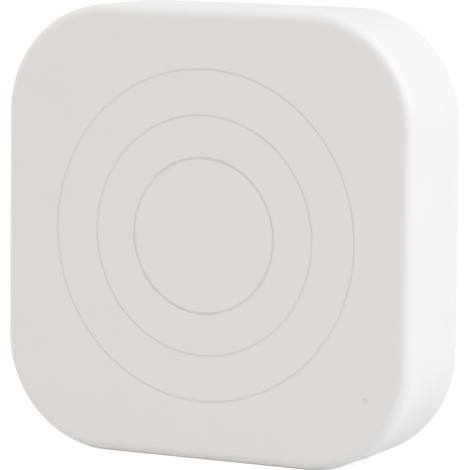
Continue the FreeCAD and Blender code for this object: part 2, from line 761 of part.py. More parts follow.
def make_pairing_button():
    """The button: a round stem in the bottom wall and a flange that keeps it inside."""
    body = new_body("pairing_button")
    stem = new_sketch(body, "stem", "XY_Plane", "button_recess")
    draw_circle(stem, BUTTON_SIDE, PORT_LINE, "button_radius")
    pad(body, "stem", stem, f"{BUTTON_TOP} - button_recess", PLUS)
    flange = new_sketch(body, "flange", "XY_Plane", BUTTON_SEAT)
    draw_box(flange, BUTTON_SIDE, PORT_LINE, "flange_width", "flange_depth")
    pad(body, "flange", flange, "flange_thickness", PLUS)
    soften(body, "rounded_end", "Fillet", "button_recess", flat_at("Z", "button_recess"))
    return body


def make_switch_body():
    """The switch's moulded body, open towards the button for its plunger."""
    body = new_body("switch_body")
    block = new_sketch(body, "block", "XY_Plane", SWITCH_FACE)
    draw_box(block, BUTTON_SIDE, f"{BOARD_FRONT} - switch_height / 2", "switch_width", "switch_height")
    pad(body, "block", block, "switch_length", PLUS)
    well = new_sketch(body, "well", "XY_Plane", SWITCH_FACE)
    well_width = "plunger_width + 2 * plunger_gap"
    well_depth = "plunger_depth + 2 * plunger_gap"
    draw_box(well, BUTTON_SIDE, PORT_LINE, well_width, well_depth)
    pocket(body, "well", well, "plunger_root + press_travel + plunger_gap", PLUS)
    return body


def make_switch_plunger():
    body = new_body("switch_plunger")
    outline = new_sketch(body, "outline", "XY_Plane", PLUNGER_END)
    draw_box(outline, BUTTON_SIDE, PORT_LINE, "plunger_width", "plunger_depth")
    pad(body, "nose", outline, "plunger_reach + plunger_root", PLUS)
    return body


def make_switch_frame():
    """The folded metal cover over the switch's body."""
    body = new_body("switch_frame")
    middle = f"{BOARD_FRONT} - switch_height / 2"
    fold = new_sketch(body, "fold", "XY_Plane", SWITCH_FACE)
    low = f"({BOARD_FRONT} - switch_height)"
    inner = "(switch_width / 2)"
    outer = f"({inner} + frame_wall)"
    foot = f"({BOARD_FRONT} - frame_wall)"
    draw_polygon(fold, [
        (f"{BUTTON_SIDE} - {outer}", foot),
        (f"{BUTTON_SIDE} - {outer}", f"{low} - frame_wall"),
        (f"{BUTTON_SIDE} + {outer}", f"{low} - frame_wall"),
        (f"{BUTTON_SIDE} + {outer}", foot),
        (f"{BUTTON_SIDE} + {inner}", foot),
        (f"{BUTTON_SIDE} + {inner}", low),
        (f"{BUTTON_SIDE} - {inner}", low),
        (f"{BUTTON_SIDE} - {inner}", foot),
    ])
    pad(body, "fold", fold, "switch_length", PLUS)
    return body


def make_switch_terminals():
    """Four solder feet that come out under the switch's sides."""
    body = new_body("switch_terminals", solids=4)
    feet = new_sketch(body, "feet", "XZ_Plane", f"{BOARD_FRONT} - frame_wall")
    reach = "(frame_wall + terminal_reach)"
    for sign in ("-", "+"):
        side = f"{BUTTON_SIDE} {sign} (switch_width / 2 + {reach} / 2)"
        for rise in ("terminal_width", "switch_length - terminal_width"):
            draw_box(feet, side, f"{SWITCH_FACE} + {rise}", reach, "terminal_width")
    pad(body, "feet", feet, "frame_wall", PLUS)
    return body


def make_light_guide():
    """The clear rod from the status light to the tiny spot in the front wall."""
    body = new_body("led_light_guide")
    rod = new_sketch(body, "rod", "XZ_Plane", INNER_FRONT)
    draw_circle(rod, LIGHT_SIDE, "light_bottom_inset", "light_rod_radius")
    pad(body, "rod", rod, f"{BOARD_FRONT} - led_height - light_air - {INNER_FRONT}", PLUS)
    tip = new_sketch(body, "tip", "XZ_Plane", INNER_FRONT)
    draw_circle(tip, LIGHT_SIDE, "light_bottom_inset", "light_tip_radius")
    pad(body, "tip", tip, "front_wall - light_recess", MINUS)
    return body


def make_status_led():
    body = new_body("status_led")
    base = new_sketch(body, "base", "XZ_Plane", BOARD_FRONT)
    draw_box(base, LIGHT_SIDE, "light_bottom_inset", "led_length", "led_width")
    pad(body, "base", base, "led_height / 2", MINUS)
    lens = new_sketch(body, "lens", "XZ_Plane", BOARD_FRONT)
    draw_box(lens, LIGHT_SIDE, "light_bottom_inset", "led_lens_length", "led_width")
    pad(body, "lens", lens, "led_height", MINUS)
    return body


def make_radar_board():
    body = new_body("radar_board")
    outline = new_sketch(body, "outline", "XZ_Plane", RADAR_FRONT)
    draw_rounded(outline, "0", MIDDLE, "radar_width", "radar_height", "header_inset / 2")
    pad(body, "plate", outline, "radar_thickness", PLUS)
    drill_pin_holes(body, RADAR_FRONT, "radar_thickness")
    return body


def make_radar_patches():
    """Columns of square copper patches, each column on one feed line."""
    body = new_body("radar_patches", solids=PATCH_COLUMNS)
    left = f"(-patch_spacing * {(PATCH_COLUMNS - 1) / 2})"
    low = f"({MIDDLE} - patch_spacing * {(PATCH_ROWS - 1) / 2})"
    patch = new_sketch(body, "patch", "XZ_Plane", RADAR_FRONT)
    draw_box(patch, left, low, "patch_size", "patch_size")
    first = pad(body, "first_patch", patch, "copper", MINUS)
    grid = body.newObject("PartDesign::MultiTransform", "radar_patches_grid")
    grid.Originals = [first]
    steps = []
    for axis, count in (("V_Axis", PATCH_ROWS), ("H_Axis", PATCH_COLUMNS)):
        step = body.newObject("PartDesign::LinearPattern", f"radar_patches_{axis}")
        step.Direction = (patch, [axis])
        step.Mode = "Spacing"
        bind(step, "Offset", "patch_spacing")
        step.Occurrences = count
        steps.append(step)
    grid.Transformations = steps
    body.Tip = grid
    doc.recompute()
    feed = new_sketch(body, "feed", "XZ_Plane", RADAR_FRONT)
    feed_height = f"patch_spacing * {PATCH_ROWS - 1} + patch_size"
    draw_box(feed, left, MIDDLE, "feed_width", feed_height)
    line = pad(body, "first_feed", feed, "copper", MINUS)
    repeat(body, "feeds", [line], feed, "H_Axis", "patch_spacing", PATCH_COLUMNS)
    return body


def make_block(label, across, up, face, width, height, thickness, direction, radius=None):
    """A plain component that stands on a board's face."""
    body = new_body(label)
    outline = new_sketch(body, "outline", "XZ_Plane", face)
    if radius is None:
        draw_box(outline, across, up, width, height)
    else:
        draw_rounded(outline, across, up, width, height, radius)
    pad(body, "package", outline, thickness, direction)
    return body


def make_radar_chip():
    return make_block("radar_chip", "0", MIDDLE, RADAR_BACK, "radar_chip_size", "radar_chip_size",
                      "radar_chip_height", PLUS)


def make_radar_crystal():
    rise = f"({MIDDLE} - radar_chip_size / 2 - crystal_width)"
    return make_block("radar_crystal", "0", rise, RADAR_BACK, "crystal_length", "crystal_width",
                      "crystal_height", PLUS, "crystal_height / 2")


def make_radar_headers():
    """Two strips that hold the radar board at its distance from the main board."""
    body = new_body("radar_headers", solids=2)
    strips = new_sketch(body, "strips", "XZ_Plane", RADAR_BACK)
    pins = new_sketch(body, "pin_box", "XZ_Plane", RADAR_BACK)
    low = f"({MIDDLE} - pin_spacing * {(PINS_PER_STRIP - 1) / 2})"
    for side in both_sides(HEADER_SIDE):
        draw_box(strips, side, MIDDLE, "header_width", f"pin_spacing * {PINS_PER_STRIP}")
        draw_box(pins, side, low, "pin_width", "pin_width")
    pad(body, "strips", strips, "header_height", PLUS)
    first = pocket(body, "first_bores", pins, "header_height", PLUS)
    repeat(body, "bores", [first], pins, "V_Axis", "pin_spacing", PINS_PER_STRIP)
    return body


def make_radar_pins():
    body = new_body("radar_pins", solids=2 * PINS_PER_STRIP)
    start = f"({RADAR_FRONT} - pin_stub)"
    pins = new_sketch(body, "pin_box", "XZ_Plane", start)
    low = f"({MIDDLE} - pin_spacing * {(PINS_PER_STRIP - 1) / 2})"
    for side in both_sides(HEADER_SIDE):
        draw_box(pins, side, low, "pin_width", "pin_width")
    first = pad(body, "first_pins", pins, f"{BOARD_BACK} - {start} + pin_stub / 2", PLUS)
    repeat(body, "pins", [first], pins, "V_Axis", "pin_spacing", PINS_PER_STRIP)
    return body


def make_wireless_board():
    middle = f"({MODULE_BOTTOM} + module_height / 2)"
    return make_block("wireless_board", "0", middle, BOARD_FRONT, "module_width", "module_height",
                      "module_thickness", MINUS)


def make_wireless_can():
    """The drawn shield: a lid with four walls, open towards its board."""
    body = new_body("wireless_can")
    outer = new_sketch(body, "outer", "XZ_Plane", MODULE_FACE)
    draw_rounded(outer, "0", CAN_MIDDLE, "can_width", "can_height", "2 * can_wall")
    pad(body, "block", outer, "can_depth", MINUS)
    inner = new_sketch(body, "inner", "XZ_Plane", MODULE_FACE)
    inner_width = "can_width - 2 * can_wall"
    inner_height = "can_height - 2 * can_wall"
    draw_rounded(inner, "0", CAN_MIDDLE, inner_width, inner_height, "can_wall")
    pocket(body, "hollow", inner, "can_depth - can_wall", MINUS)
    return body


def make_wireless_chip():
    return make_block("wireless_chip", "0", CAN_MIDDLE, MODULE_FACE, "wifi_chip_size",
                      "wifi_chip_size", "wifi_chip_height", MINUS)


def make_wireless_antenna():
    """The copper meander at the module's free end."""
    body = new_body("wireless_antenna", solids=ANTENNA_BARS)
    left = f"(-antenna_spacing * {(ANTENNA_BARS - 1) / 2})"
    high = f"({MODULE_TOP} - antenna_line)"
    low = f"({high} - antenna_height)"
    bar = new_sketch(body, "bar", "XZ_Plane", MODULE_FACE)
    draw_box(bar, left, f"({low} + {high}) / 2", "antenna_line", "antenna_height")
    first = pad(body, "first_bar", bar, "copper", MINUS)
    repeat(body, "bars", [first], bar, "H_Axis", "antenna_spacing", ANTENNA_BARS)
    turns = (("top", f"{high} - antenna_line / 2", 0.5, ANTENNA_BARS // 2),
             ("bottom", f"{low} + antenna_line / 2", 1.5, ANTENNA_BARS // 2 - 1))
    for name, level, steps, count in turns:
        turn = new_sketch(body, f"{name}_turn", "XZ_Plane", MODULE_FACE)
        draw_box(turn, f"{left} + {steps} * antenna_spacing", level, "antenna_spacing", "antenna_line")
        link = pad(body, f"first_{name}_turn", turn, "copper", MINUS)
        repeat(body, f"{name}_turns", [link], turn, "H_Axis", "2 * antenna_spacing", count)
    return body


def make_regulator():
    face = f"({BOARD_FRONT} - lead_thickness)"
    return make_block("voltage_regulator", "regulator_side", "supply_rise", face,
                      "regulator_length", "regulator_width", "regulator_height", MINUS)


def make_regulator_leads():
    """Three leads below the package and two above it, bent down to the board."""
    body = new_body("regulator_leads", solids=5)
    knee = f"({BOARD_FRONT} - regulator_height / 2)"
    rows = (("lower", "-", "lead_spacing", 3), ("upper", "+", "2 * lead_spacing", 2))
    for name, sign, pitch, count in rows:
        edge = f"(supply_rise {sign} regulator_width / 2)"
        side = "regulator_side - lead_spacing - lead_width / 2"
        profile = new_sketch(body, f"{name}_profile", "YZ_Plane", side)
        near_edge = f"{edge} {sign} lead_thickness"
        draw_polygon(profile, [
            (f"{knee} - lead_thickness", edge),
            (knee, edge),
            (f"{BOARD_FRONT} - lead_thickness", edge),
            (BOARD_FRONT, edge),
            (BOARD_FRONT, f"{edge} {sign} lead_reach"),
            (f"{BOARD_FRONT} - lead_thickness", f"{edge} {sign} lead_reach"),
            (f"{BOARD_FRONT} - lead_thickness", near_edge),
            (f"{knee} - lead_thickness", near_edge),
        ])
        first = pad(body, f"{name}_lead", profile, "lead_width", PLUS)
        across = new_sketch(body, f"{name}_direction", "XY_Plane", "0")
        repeat(body, f"{name}_row", [first], across, "H_Axis", pitch, count)
    return body


def make_inductor():
    face = f"({BOARD_FRONT} - inductor_pad_height)"
    return make_block("power_inductor", "-inductor_side", "supply_rise", face, "inductor_size",
                      "inductor_size", "inductor_height", MINUS, "inductor_radius")


def make_inductor_pads():
    body = new_body("inductor_pads", solids=2)
    pads = new_sketch(body, "pads", "XZ_Plane", BOARD_FRONT)
    for sign in ("-", "+"):
        side = f"-inductor_side {sign} (inductor_size - inductor_pad) / 2"
        draw_box(pads, side, "supply_rise", "inductor_pad", "inductor_size - 2 * inductor_pad")
    pad(body, "pads", pads, "inductor_pad_height", MINUS)
    return body


def make_capacitors():
    body = new_body("ceramic_capacitors", solids=CAPACITORS)
    left = f"(-capacitor_spacing * {(CAPACITORS - 1) / 2})"
    outline = new_sketch(body, "outline", "XZ_Plane", BOARD_FRONT)
    draw_box(outline, left, "supply_rise", "capacitor_width", "capacitor_length")
    first = pad(body, "first", outline, "capacitor_width", MINUS)
    repeat(body, "row", [first], outline, "H_Axis", "capacitor_spacing", CAPACITORS)
    return body


bodies = [
    make_front_housing(),
    make_rear_cover(),
    make_wall_bracket(),
    make_screws("rear_cover_screws", f"({BACK} - screw_head_height - head_gap)",
                both_sides(BOSS_SIDE), BOSS_RISES),
    make_main_board(),
    make_screws("main_board_screws", BOARD_BACK, both_sides(POST_SIDE), POST_RISES),
    make_usb_shell(),
    make_usb_tongue(),
    make_usb_base(),
    make_usb_contacts(),
    make_pairing_button(),
    make_switch_body(),
    make_switch_plunger(),
    make_switch_frame(),
    make_switch_terminals(),
    make_light_guide(),
    make_status_led(),
    make_radar_board(),
    make_radar_patches(),
    make_radar_chip(),
    make_radar_crystal(),
    make_radar_headers(),
    make_radar_pins(),
    make_wireless_board(),
    make_wireless_can(),
    make_wireless_chip(),
    make_wireless_antenna(),
    make_regulator(),
    make_regulator_leads(),
    make_inductor(),
    make_inductor_pads(),
    make_capacitors(),
]

doc.recompute()
for item in doc.Objects:
    if "Invalid" in item.State or "Error" in item.State:
        raise RuntimeError(f"{item.Name} has not been computed: {item.State}")
for body in bodies:
    if body.Shape.isNull() or not body.Shape.isValid():
        raise RuntimeError(f"{body.Label} has no valid shape")

os.makedirs("parts", exist_ok=True)
for body in bodies:
    body.Shape.exportStep(f"parts/{body.Label}.step")
    print(body.Label, len(body.Shape.Solids), round(body.Shape.Volume, 2))
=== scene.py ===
import math
import bpy
from mathutils import Matrix, Vector


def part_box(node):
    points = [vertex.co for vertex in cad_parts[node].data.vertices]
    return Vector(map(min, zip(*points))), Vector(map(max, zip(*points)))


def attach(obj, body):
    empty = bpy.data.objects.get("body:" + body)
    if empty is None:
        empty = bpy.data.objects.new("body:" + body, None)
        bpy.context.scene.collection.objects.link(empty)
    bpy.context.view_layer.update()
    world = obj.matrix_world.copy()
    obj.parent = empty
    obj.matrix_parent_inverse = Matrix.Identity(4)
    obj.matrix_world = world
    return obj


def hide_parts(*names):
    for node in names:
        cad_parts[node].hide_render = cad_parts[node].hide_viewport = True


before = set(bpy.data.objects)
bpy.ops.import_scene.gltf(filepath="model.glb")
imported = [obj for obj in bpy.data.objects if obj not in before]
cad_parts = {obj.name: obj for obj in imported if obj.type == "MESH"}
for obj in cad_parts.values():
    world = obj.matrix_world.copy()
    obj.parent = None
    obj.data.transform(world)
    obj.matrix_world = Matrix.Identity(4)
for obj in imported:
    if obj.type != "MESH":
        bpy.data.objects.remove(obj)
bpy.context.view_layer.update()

# Front housing: the white cap that is the face and all four sides of the sensor.
# It is moulded in one piece of PC/ABS. Three fine rings are cut in its face, and its bosses,
# board posts, ribs and the sleeve of the status light stand on its inside.
mm = 0.001
housing_low, housing_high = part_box("front_housing")
middle = (housing_low.z + housing_high.z) / 2
face = housing_low.y
rim = housing_high.y
corner_radius = 16 * mm
# The photograph shows this radius at the face's edge, where the CAD solid has 2.1 mm.
front_edge = 1.4 * mm
back_edge = 0.5 * mm
wall = 1.8 * mm
rim_wall = 1.0 * mm
cover_plate = 1.6 * mm
floor_fillet = 0.8 * mm
inner_face = face + wall
board_face = 3.0 * mm
# The wall's section is swept this far in from the outline; a flat plate closes the rest.
band = 6 * mm
# A short straight beside a rounding, how far cuts and bosses reach past a surface, the distance
# under which two points are one, and the steps round a boss and round a hole.
seam = 0.15 * mm
overlap = 0.2 * mm
one_point = 0.001 * mm
round_steps, hole_steps = 48, 32
boss_side, boss_rise, boss_radius, boss_end = 19 * mm, 26 * mm, 2.6 * mm, 5.1 * mm
rib_wall, rib_rise, rib_length = 1.0 * mm, 28.55 * mm, 5.1 * mm
post_side, post_rise, post_radius = 25 * mm, 12 * mm, 2.3 * mm
pilot_radius, pilot_depth = 0.97 * mm, 6 * mm
light_side, light_up = 25.55 * mm, 10.75 * mm
light_bore, spot_radius = 1.23 * mm, 0.41 * mm
sleeve_radius, sleeve_length = 2.03 * mm, 4.0 * mm
port_line = 1.42 * mm
inlet_width, inlet_height = 9.34 * mm, 3.56 * mm
button_side, button_bore = 10.435 * mm, 1.4 * mm


def linear(code):
    """An sRGB hex colour as the linear one that a socket takes."""
    parts = [int(code[i:i + 2], 16) / 255 for i in (1, 3, 5)]
    return (*(p / 12.92 if p <= 0.04045 else ((p + 0.055) / 1.055) ** 2.4 for p in parts), 1.0)


def add(tree, kind, inputs=None, **settings):
    """Adds a node with its settings; an input takes a value, a link, or a list of links.
    Gives back the node's one output, or all of them where it has more."""
    node = tree.nodes.new(kind)
    for name, value in settings.items():
        setattr(node, name, value)
    for name, value in (inputs or {}).items():
        for link in value if isinstance(value, list) else [value]:
            if isinstance(link, bpy.types.NodeSocket):
                tree.links.new(link, node.inputs[name])
            else:
                node.inputs[name].default_value = link
    shown = [socket for socket in node.outputs if socket.enabled]
    return shown[0] if len(shown) == 1 else node.outputs


def new_tree(name, **sizes):
    """A Geometry Nodes tree with a start mesh, a finish and named sizes as its inputs.
    An input without a number takes a second finish."""
    tree = bpy.data.node_groups.new(name, "GeometryNodeTree")
    tree.interface.new_socket("Geometry", in_out="OUTPUT", socket_type="NodeSocketGeometry")
    tree.interface.new_socket("Geometry", in_out="INPUT", socket_type="NodeSocketGeometry")
    tree.interface.new_socket("Finish", in_out="INPUT", socket_type="NodeSocketMaterial")
    kinds = {int: "NodeSocketInt", float: "NodeSocketFloat", type(None): "NodeSocketMaterial"}
    for size, value in sizes.items():
        socket = tree.interface.new_socket(size, in_out="INPUT", socket_type=kinds[type(value)])
        if value is not None:
            socket.default_value = value
    return tree, tree.nodes.new("NodeGroupInput").outputs


def grow(name, tree, shape, given, finish, start=None, **sizes):
    """Closes a tree with its finish, runs it, and keeps the result as a plain mesh."""
    real = add(tree, "GeometryNodeRealizeInstances", {"Geometry": shape})
    dressed = add(tree, "GeometryNodeSetMaterial", {"Geometry": real, "Material": given["Finish"]})
    add(tree, "NodeGroupOutput", {"Geometry": dressed})
    return grow_again(name, tree, finish, start, **sizes)


def grow_again(name, tree, finish, start=None, **sizes):
    """Runs a closed tree with a piece's own sizes and keeps the result as a plain mesh."""
    piece = bpy.data.objects.new(name, start or bpy.data.meshes.new(name))
    bpy.context.scene.collection.objects.link(piece)
    modifier = piece.modifiers.new(tree.name, "NODES")
    modifier.node_group = tree
    sizes["Finish"] = finish
    for item in tree.interface.items_tree:
        if item.in_out == "INPUT" and item.name in sizes:
            modifier[item.identifier] = sizes[item.name]
    evaluated = piece.evaluated_get(bpy.context.evaluated_depsgraph_get())
    mesh = bpy.data.meshes.new_from_object(evaluated)
    piece.modifiers.remove(modifier)
    piece.data = mesh
    mesh.name = name
    # The start mesh has no finish and leaves an empty first slot.
    if mesh.materials[0] is None:
        mesh.materials.pop(index=0)
    mesh.shade_smooth()
    mesh.set_sharp_from_angle(angle=math.radians(30))
    return piece


def section(name, corners):
    """A wall's section as a line of points, each with the radius that rounds it.
    The sweep measures the first number inwards from the outline and the second along Y."""
    mesh = bpy.data.meshes.new(name)
    points = [(-inset, y, 0) for inset, y, _ in corners]
    mesh.from_pydata(points, [(i, i + 1) for i in range(len(points) - 1)], [])
    rounding = mesh.attributes.new("rounding", "FLOAT", "POINT")
    rounding.data.foreach_set("value", [radius for _, _, radius in corners])
    return mesh


def sweep(tree, given, outline, steps):
    """Rounds the start line at its corners and sweeps it round a flat outline."""
    line = add(tree, "GeometryNodeMeshToCurve", {"Mesh": given["Geometry"]})
    rounding = add(tree, "GeometryNodeInputNamedAttribute", {"Name": "rounding"}, data_type="FLOAT")
    line = add(tree, "GeometryNodeFilletCurve", {
        "Curve": line, "Radius": rounding["Attribute"], "Limit Radius": True, "Count": steps},
        mode="POLY")
    return add(tree, "GeometryNodeCurveToMesh", {"Curve": outline, "Profile Curve": line})


def rounded(tree, width, height, radius, steps):
    """The flat outline of a rectangle whose corners are arcs."""
    box = add(tree, "GeometryNodeCurvePrimitiveQuadrilateral", {"Width": width, "Height": height})
    return add(tree, "GeometryNodeFilletCurve", {
        "Curve": box, "Radius": radius, "Limit Radius": True, "Count": steps}, mode="POLY")


def bar(tree, outline, start, end):
    """A solid bar of an outline between two points."""
    path = add(tree, "GeometryNodeCurvePrimitiveLine", {"Start": start, "End": end})
    return add(tree, "GeometryNodeCurveToMesh", {
        "Curve": path, "Profile Curve": outline, "Fill Caps": True})


def at_corners(tree, shape, side, rise):
    """The same shape at four places round the middle of the face."""
    grid = add(tree, "GeometryNodeMeshGrid", {
        "Size X": 2 * side, "Size Y": 2 * rise, "Vertices X": 2, "Vertices Y": 2})["Mesh"]
    places = add(tree, "GeometryNodeTransform", {
        "Geometry": grid, "Rotation": (math.pi / 2, 0, 0), "Translation": (0, 0, middle)})
    copies = add(tree, "GeometryNodeInstanceOnPoints", {"Points": places, "Instance": shape})
    return add(tree, "GeometryNodeRealizeInstances", {"Geometry": copies})


def new_finish(name, **values):
    """A material with its tree and shader; values that are even all over go on the shader."""
    finish = bpy.data.materials.new(name)
    finish.use_nodes = True
    tree = finish.node_tree
    shader = tree.nodes["Principled BSDF"]
    for socket, value in values.items():
        shader.inputs[socket.replace("_", " ")].default_value = value
    return finish, tree, shader


def cloud(tree, shader, size, colours, roughness, relief=0.0, detail=3.0, stretch=(1, 1, 1)):
    """Cloudy colour, roughness and relief on a shader, each cloud about one size across, and
    longer along an axis whose stretch is below one. Gives back the place and the tint."""
    place = add(tree, "ShaderNodeTexCoord")["Object"]
    place = add(tree, "ShaderNodeMapping", {"Vector": place, "Scale": stretch})
    noise = add(tree, "ShaderNodeTexNoise", {"Vector": place, "Scale": 1 / size, "Detail": detail})
    tint = add(tree, "ShaderNodeMix", {
        "Factor": noise["Fac"], 6: linear(colours[0]), 7: linear(colours[1])}, data_type="RGBA")
    tree.links.new(tint, shader.inputs["Base Color"])
    sheen = add(tree, "ShaderNodeMapRange", {
        "Value": noise["Fac"], "To Min": roughness[0], "To Max": roughness[1]})
    tree.links.new(sheen, shader.inputs["Roughness"])
    if relief:
        bump = add(tree, "ShaderNodeBump", {"Height": noise["Fac"], "Distance": relief})
        tree.links.new(bump, shader.inputs["Normal"])
    return place, tint


def mould_grain(tree, shader, place, size, depth):
    """The even relief that a mould's texture leaves, in grains of about one size."""
    grain = add(tree, "ShaderNodeTexNoise", {"Vector": place, "Scale": 1 / size, "Detail": 2.0})
    relief = add(tree, "ShaderNodeBump", {
        "Height": grain["Fac"], "Strength": 0.15, "Distance": depth})
    tree.links.new(relief, shader.inputs["Normal"])


# PC/ABS from a finely spark-eroded mould: satin, with an even grain and faint flow marks.
# The real grain is near 0.05 mm; it is drawn at 0.2 mm, the finest that can show.
white_abs, tree, shader = new_finish("spark_eroded_white_pc_abs", IOR=1.56)
place = cloud(tree, shader, 8 * mm, ("#EAE8E6", "#E7E5E4"), (0.5, 0.6))[0]
mould_grain(tree, shader, place, 0.2 * mm, 0.01 * mm)

wall_section = section("housing_wall_section", [
    (band, face, 0),
    (front_edge + seam, face, 0),
    (0, face, front_edge),
    (0, face + front_edge + seam, 0),
    (0, rim - back_edge - seam, 0),
    (0, rim, back_edge),
    (back_edge + seam, rim, 0),
    (rim_wall, rim, 0),
    (rim_wall, rim - cover_plate, 0),
    (wall, rim - cover_plate, 0),
    (wall, inner_face + floor_fillet + seam, 0),
    (wall, inner_face, floor_fillet),
    (wall + floor_fillet + seam, inner_face, 0),
    (band, inner_face, 0),
])
tree, given = new_tree("moulded_cap", **{
    "Width": 64 * mm, "Height": 64 * mm, "Corner radius": corner_radius, "Corner steps": 48,
    "Edge steps": 12,
    "Inner ring": 11 * mm, "Middle ring": 17 * mm, "Outer ring": 23.5 * mm, "Ring steps": 192,
    "Inner ring width": 0.38 * mm, "Ring width": 0.28 * mm,
    "Inner ring depth": 0.16 * mm, "Ring depth": 0.11 * mm,
    "Boss radius": boss_radius, "Post radius": post_radius, "Pilot radius": pilot_radius,
})
outline = rounded(
    tree, given["Width"], given["Height"], given["Corner radius"], given["Corner steps"])
walls = sweep(tree, given, outline, given["Edge steps"])
# The face's plate is filled from the open edge of the swept walls, so that they share points.
open_edge = add(tree, "ShaderNodeMath", {
    0: add(tree, "GeometryNodeInputMeshEdgeNeighbors"), 1: 1.5}, operation="LESS_THAN")
swept_level = add(tree, "ShaderNodeSeparateXYZ", {
    "Vector": add(tree, "GeometryNodeInputPosition")})["Z"]
outside = add(tree, "ShaderNodeMath", {
    0: swept_level, 1: -(face + inner_face) / 2}, operation="GREATER_THAN")
face_edge = add(tree, "ShaderNodeMath", {0: open_edge, 1: outside}, operation="MULTIPLY")
face_edge = add(tree, "GeometryNodeMeshToCurve", {"Mesh": walls, "Selection": face_edge})
plate = add(tree, "GeometryNodeFillCurve", {"Curve": face_edge}, mode="NGONS")
ceiling = add(tree, "GeometryNodeFlipFaces", {"Mesh": plate})
plates = [add(tree, "GeometryNodeTransform", {"Geometry": sheet, "Translation": (0, 0, -y)})
          for sheet, y in ((plate, face), (ceiling, inner_face))]
shell = add(tree, "GeometryNodeJoinGeometry", {"Geometry": [walls, *plates]})
shell = add(tree, "GeometryNodeMergeByDistance", {"Geometry": shell, "Distance": one_point})
shell = add(tree, "GeometryNodeTransform", {
    "Geometry": shell, "Rotation": (math.pi / 2, 0, 0), "Translation": (0, 0, middle)})

root = inner_face - overlap
boss_outline = add(tree, "GeometryNodeCurvePrimitiveCircle", {
    "Radius": given["Boss radius"], "Resolution": round_steps})
post_outline = add(tree, "GeometryNodeCurvePrimitiveCircle", {
    "Radius": given["Post radius"], "Resolution": round_steps})
rib_outline = add(tree, "GeometryNodeCurvePrimitiveQuadrilateral", {
    "Width": rib_wall, "Height": rib_length})
sleeve_outline = add(tree, "GeometryNodeCurvePrimitiveCircle", {
    "Radius": sleeve_radius, "Resolution": round_steps})
boss = bar(tree, boss_outline, (0, root, 0), (0, boss_end, 0))
rib = bar(tree, rib_outline, (0, root, 0), (0, board_face, 0))
post = bar(tree, post_outline, (0, root, 0), (0, board_face, 0))
grown = [
    at_corners(tree, boss, boss_side, boss_rise),
    at_corners(tree, rib, boss_side, rib_rise),
    at_corners(tree, post, post_side, post_rise),
    bar(tree, sleeve_outline, (light_side, root, light_up),
        (light_side, inner_face + sleeve_length, light_up)),
]
shell = add(tree, "GeometryNodeMeshBoolean", {
    "Mesh 2": [shell, *grown]}, operation="UNION", solver="EXACT")["Mesh"]

pilot = add(tree, "GeometryNodeCurvePrimitiveCircle", {
    "Radius": given["Pilot radius"], "Resolution": hole_steps})
bore = add(tree, "GeometryNodeCurvePrimitiveCircle", {
    "Radius": light_bore, "Resolution": hole_steps})
spot = add(tree, "GeometryNodeCurvePrimitiveCircle", {
    "Radius": spot_radius, "Resolution": hole_steps})
inlet = rounded(tree, inlet_width, inlet_height, inlet_height / 2, hole_steps // 2)
round_hole = add(tree, "GeometryNodeCurvePrimitiveCircle", {
    "Radius": button_bore, "Resolution": round_steps})
boss_pilot = bar(tree, pilot, (0, boss_end - pilot_depth, 0), (0, boss_end + overlap, 0))
post_pilot = bar(tree, pilot, (0, board_face - pilot_depth, 0), (0, board_face + overlap, 0))
through = wall + floor_fillet
cuts = [
    at_corners(tree, boss_pilot, boss_side, boss_rise),
    at_corners(tree, post_pilot, post_side, post_rise),
    bar(tree, bore, (light_side, inner_face, light_up),
        (light_side, inner_face + sleeve_length + overlap, light_up)),
    bar(tree, spot, (light_side, face - overlap, light_up),
        (light_side, inner_face + overlap, light_up)),
    bar(tree, inlet, (0, port_line, -overlap), (0, port_line, through)),
    bar(tree, round_hole, (button_side, port_line, -overlap), (button_side, port_line, through)),
]
rings = (("Inner ring", "Inner ring"), ("Middle ring", "Ring"), ("Outer ring", "Ring"))
for ring, kind in rings:
    cut_height = add(tree, "ShaderNodeMath", {
        0: given[f"{kind} depth"], 1: 2.0}, operation="MULTIPLY")
    groove = add(tree, "GeometryNodeCurvePrimitiveQuadrilateral", {
        "Width": given[f"{kind} width"], "Height": cut_height})
    line = add(tree, "GeometryNodeCurvePrimitiveCircle", {
        "Radius": given[ring], "Resolution": given["Ring steps"]})
    ring_cut = add(tree, "GeometryNodeCurveToMesh", {"Curve": line, "Profile Curve": groove})
    cuts.append(add(tree, "GeometryNodeTransform", {
        "Geometry": ring_cut, "Rotation": (math.pi / 2, 0, 0), "Translation": (0, face, middle)}))
shell = add(tree, "GeometryNodeMeshBoolean", {
    "Mesh 1": shell, "Mesh 2": cuts}, operation="DIFFERENCE", solver="EXACT")["Mesh"]
housing = grow("housing", tree, shell, given, white_abs, wall_section,
               Width=housing_high.x - housing_low.x, Height=housing_high.z - housing_low.z)
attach(housing, "housing")
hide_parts("front_housing")


# Status light: a moulded polycarbonate guide pressed in the housing's sleeve, with its tip a hair
# below the face, and a small white-light diode soldered to the board behind it.
def dress(node, finish):
    """Gives a CAD piece its finish and leaves its shape alone."""
    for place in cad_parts[node].material_slots:
        place.material = finish


def soften(node, finish, body, width, steps=2):
    """A copy of a CAD piece whose edges are rounded as the moulded or pressed part's are."""
    piece = bpy.data.objects.new(f"{node}_body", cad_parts[node].data.copy())
    bpy.context.scene.collection.objects.link(piece)
    weld = piece.modifiers.new("weld", "WELD")
    weld.merge_threshold = one_point
    edges = piece.modifiers.new("edges", "BEVEL")
    edges.width, edges.segments, edges.limit_method = width, steps, "ANGLE"
    edges.angle_limit = math.radians(40)
    evaluated = piece.evaluated_get(bpy.context.evaluated_depsgraph_get())
    mesh = bpy.data.meshes.new_from_object(evaluated)
    piece.modifiers.clear()
    piece.data = mesh
    # The CAD's own normals would hide the rounded edges.
    mesh.attributes.remove(mesh.attributes["custom_normal"])
    mesh.materials.clear()
    mesh.materials.append(finish)
    mesh.shade_smooth()
    mesh.set_sharp_from_angle(angle=math.radians(50))
    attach(piece, body)
    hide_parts(node)
    return piece


